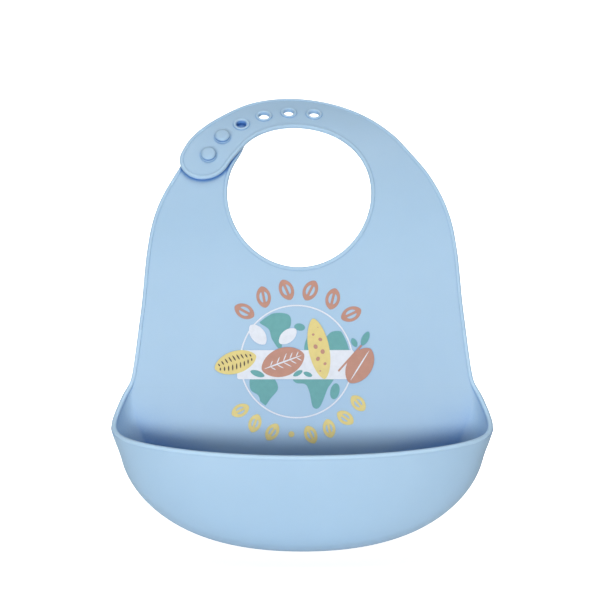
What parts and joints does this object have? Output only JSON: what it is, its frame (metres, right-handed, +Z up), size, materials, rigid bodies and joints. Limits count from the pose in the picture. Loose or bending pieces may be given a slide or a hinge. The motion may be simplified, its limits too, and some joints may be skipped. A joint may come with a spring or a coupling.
{
  "type": "silicone bib",
  "caption": "Soft silicone bib with a flat chest panel, a scooped catch pocket, and a button-and-hole neck strap; modelled standing upright with the strap fastened.",
  "frame": {"origin": "centre of the footprint, on the floor under the pocket", "axes": "+Z up, +X to the right seen from the front, +Y from the printed front to the back"},
  "size_m": [0.225, 0.1076, 0.2757],
  "materials": {
    "silicone": "satin",
    "ink_white": "matte",
    "ink_green": "matte",
    "ink_terracotta": "matte",
    "ink_yellow": "matte",
    "ink_brown": "matte"
  },
  "bodies": {
    "apron": {"apron_panel": "silicone", "print_white": "ink_white", "print_green": "ink_green", "print_terracotta": "ink_terracotta", "print_yellow": "ink_yellow", "print_brown": "ink_brown"},
    "pocket": {"pocket_shell": "silicone"},
    "yoke": {"yoke_sheet": "silicone", "stud_1": "silicone", "stud_2": "silicone"},
    "strap_1": {"strap_root": "silicone"},
    "strap_2": {"strap_middle": "silicone", "eyelet_4": "silicone", "eyelet_5": "silicone", "eyelet_6": "silicone"},
    "strap_3": {"strap_tip": "silicone", "eyelet_1": "silicone", "eyelet_2": "silicone", "eyelet_3": "silicone"}
  },
  "joints": [
    {"name": "yoke_fold", "type": "hinge", "parent": "apron", "child": "yoke", "pos_m": [0, 0.00095, 0.1644], "axis": [1, 0, 0], "range_deg": [-30, 100], "stiffness_Nm_per_rad": 0.05},
    {"name": "strap_root_bend", "type": "hinge", "parent": "yoke", "child": "strap_1", "pos_m": [0.0452, 0.02924, 0.24752], "axis": [0.7663, 0.3903, 0.5104], "range_deg": [0, 40], "stiffness_Nm_per_rad": 0.02},
    {"name": "strap_middle_bend", "type": "hinge", "parent": "strap_1", "child": "strap_2", "pos_m": [0.01509, 0.04148, 0.26264], "axis": [0.2736, 0.6748, 0.6854], "range_deg": [0, 40], "stiffness_Nm_per_rad": 0.02},
    {"name": "strap_tip_bend", "type": "hinge", "parent": "strap_2", "child": "strap_3", "pos_m": [-0.03009, 0.03669, 0.2608], "axis": [-0.4623, 0.5745, 0.6754], "range_deg": [0, 40], "stiffness_Nm_per_rad": 0.02, "deforming": ["eyelet_1", "eyelet_2"]},
    {"name": "pocket_flex", "type": "hinge", "parent": "apron", "child": "pocket", "pos_m": [0, 0.00095, 0.0144], "axis": [1, 0, 0], "range_deg": [-15, 20], "stiffness_Nm_per_rad": 0.3}
  ],
  "couplings": [
    {"joint": "strap_root_bend", "follows": "strap_tip_bend", "ratio": 1},
    {"joint": "strap_middle_bend", "follows": "strap_tip_bend", "ratio": 1}
  ]
}
